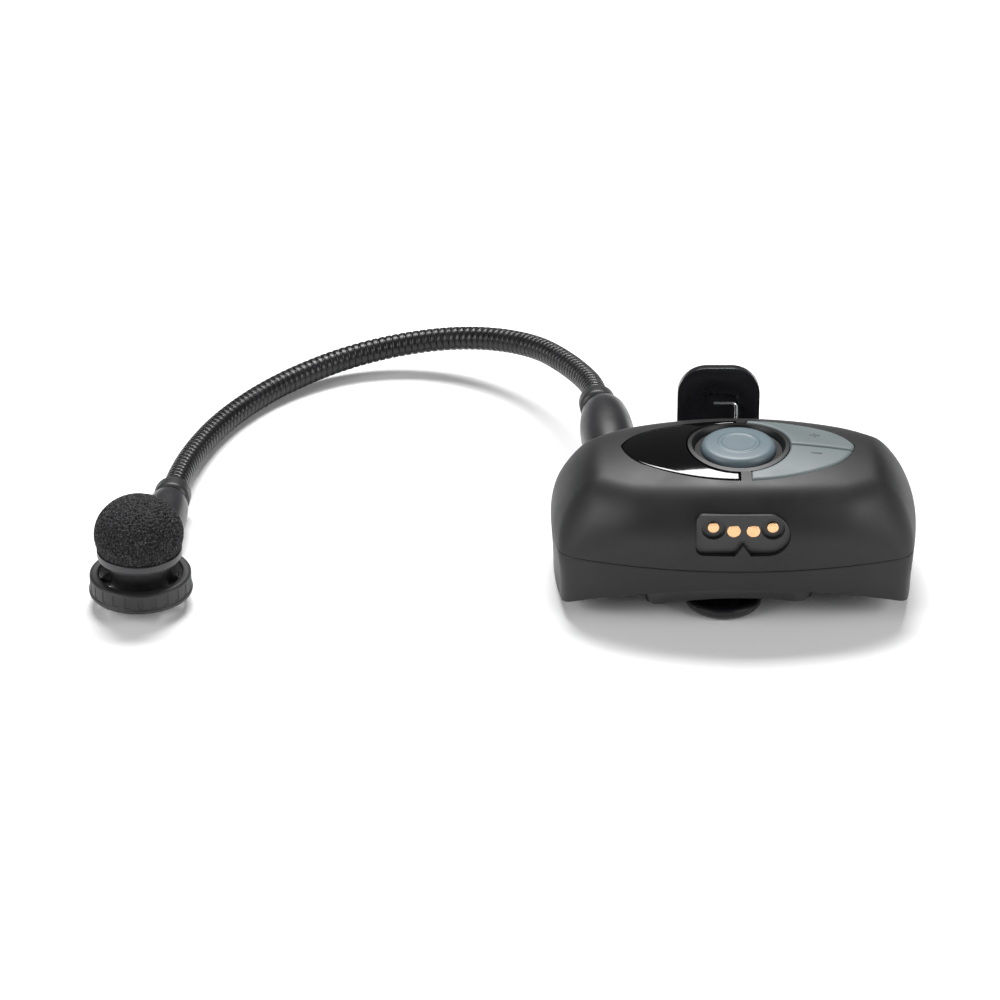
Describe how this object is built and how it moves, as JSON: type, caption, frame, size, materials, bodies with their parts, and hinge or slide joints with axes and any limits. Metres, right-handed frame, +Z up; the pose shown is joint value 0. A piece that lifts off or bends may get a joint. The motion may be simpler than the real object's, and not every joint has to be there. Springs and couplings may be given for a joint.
{
  "type": "wireless gooseneck microphone",
  "caption": "Body-worn wireless microphone: curved clip-on transmitter pack with a round main button, volume keys and charging contacts, and a gooseneck boom with a foam-covered microphone.",
  "frame": {"origin": "on the flat underside of the clip's jaw, below the middle of the pack", "axes": "+X to the pack's right seen from its front, +Y to its back, +Z up out of its domed control face"},
  "size_m": [0.1817, 0.1278, 0.0376],
  "materials": {
    "shell_black": "soft-touch black ABS",
    "bezel_black": "black ABS, fine satin",
    "button_grey": "blue-grey silicone rubber",
    "lens_black": "polished black acrylic",
    "port_black": "black ABS",
    "gold": "gold plating",
    "board": "solder-masked glass-fibre board",
    "switch_metal": "tin-plated steel",
    "led_white": "white resin",
    "battery_wrap": "heat-shrink film over a cell",
    "antenna_copper": "bare copper",
    "clip_black": "black acetal, semi-gloss",
    "screw_steel": "black-oxide steel",
    "steel": "bright spring steel",
    "boot_grey": "dark grey moulded rubber",
    "collar_black": "black anodised aluminium",
    "neck_black": "black satin coil",
    "ring_black": "black nylon",
    "cup_grey": "dark grey satin ABS",
    "mic_black": "black ABS",
    "capsule_metal": "aluminium can",
    "foam": "open-cell black foam"
  },
  "bodies": {
    "pack": {"top_shell": "shell_black", "bottom_shell": "shell_black", "shell_screws": "screw_steel", "bezel_ring": "bezel_black", "display_lens": "lens_black", "charge_port": "port_black", "contact_pads": "gold", "contact_pins": "gold", "main_board": "board", "key_switches": "switch_metal", "display_leds": "led_white", "battery": "battery_wrap", "antenna": "antenna_copper", "clip_bracket": "clip_black", "bracket_screws": "screw_steel", "clip_pin": "steel", "body_boot": "boot_grey", "boot_nut": "switch_metal", "body_collar": "collar_black", "neck_link_1": "neck_black"},
    "button": {"main_button": "button_grey"},
    "volume_up": {"volume_up_key": "button_grey"},
    "volume_down": {"volume_down_key": "button_grey"},
    "clip": {"clip_lever": "clip_black", "clip_spring": "steel"},
    "neck_2": {"neck_link_2": "neck_black"},
    "neck_3": {"neck_link_3": "neck_black"},
    "neck_4": {"neck_link_4": "neck_black"},
    "neck_5": {"neck_link_5": "neck_black"},
    "neck_6": {"neck_link_6": "neck_black"},
    "neck_7": {"neck_link_7": "neck_black"},
    "neck_8": {"neck_link_8": "neck_black"},
    "boom": {"neck_link_9": "neck_black", "mic_collar": "collar_black", "mic_boot": "boot_grey", "mic_ring": "ring_black", "trunnion_pins": "steel"},
    "mic_head": {"mic_body": "mic_black", "windscreen_cup": "cup_grey", "mic_capsule": "capsule_metal", "capsule_gasket": "mic_black", "foam_windscreen": "foam"}
  },
  "joints": [
    {"name": "button_press", "type": "slide", "parent": "pack", "child": "button", "axis": [0, 0, -1], "range_m": [0, 0.001], "stiffness_N_per_m": 300, "springref_m": -0.001},
    {"name": "volume_up_press", "type": "slide", "parent": "pack", "child": "volume_up", "axis": [0, 0, -1], "range_m": [0, 0.0005], "stiffness_N_per_m": 300, "springref_m": -0.001},
    {"name": "volume_down_press", "type": "slide", "parent": "pack", "child": "volume_down", "axis": [0, 0, -1], "range_m": [0, 0.0005], "stiffness_N_per_m": 300, "springref_m": -0.001},
    {"name": "clip_open", "type": "hinge", "parent": "pack", "child": "clip", "pos_m": [-0.003, 0.0175, 0.0042], "axis": [1, 0, 0], "range_deg": [0, 16], "stiffness_Nm_per_rad": 0.3, "springref_deg": -28.65},
    {"name": "neck_bend_1", "type": "hinge", "parent": "pack", "child": "neck_2", "pos_m": [-0.032, 0.06216, 0.01817], "axis": [-0.1675, 0.0983, 0.981], "range_deg": [-30, 12]},
    {"name": "neck_lift_1", "type": "hinge", "parent": "neck_2", "child": "neck_3", "pos_m": [-0.04007, 0.08167, 0.01484], "axis": [0.8743, 0.4745, 0.1018], "range_deg": [-20, 20]},
    {"name": "neck_bend_2", "type": "hinge", "parent": "neck_3", "child": "neck_4", "pos_m": [-0.05404, 0.09708, 0.01091], "axis": [-0.1675, 0.0983, 0.981], "range_deg": [-30, 12]},
    {"name": "neck_lift_2", "type": "hinge", "parent": "neck_4", "child": "neck_5", "pos_m": [-0.07401, 0.10252, 0.00695], "axis": [-0.0261, 0.9942, -0.1041], "range_deg": [-20, 20]},
    {"name": "neck_bend_3", "type": "hinge", "parent": "neck_5", "child": "neck_6", "pos_m": [-0.09401, 0.09619, 0.00417], "axis": [-0.1675, 0.0983, 0.981], "range_deg": [-30, 12]},
    {"name": "neck_lift_3", "type": "hinge", "parent": "neck_6", "child": "neck_7", "pos_m": [-0.10959, 0.08176, 0.00295], "axis": [-0.7823, 0.5922, -0.1929], "range_deg": [-20, 20]},
    {"name": "neck_bend_4", "type": "hinge", "parent": "neck_7", "child": "neck_8", "pos_m": [-0.11978, 0.06302, 0.00309], "axis": [-0.1675, 0.0983, 0.981], "range_deg": [-30, 12]},
    {"name": "neck_lift_4", "type": "hinge", "parent": "neck_8", "child": "boom", "pos_m": [-0.12504, 0.04236, 0.00426], "axis": [-0.9751, 0.1303, -0.1796], "range_deg": [-20, 20]},
    {"name": "mic_tilt", "type": "hinge", "parent": "boom", "child": "mic_head", "pos_m": [-0.1308, -0.0087, 0.0057], "axis": [1, 0, 0], "range_deg": [-15, 15]}
  ]
}
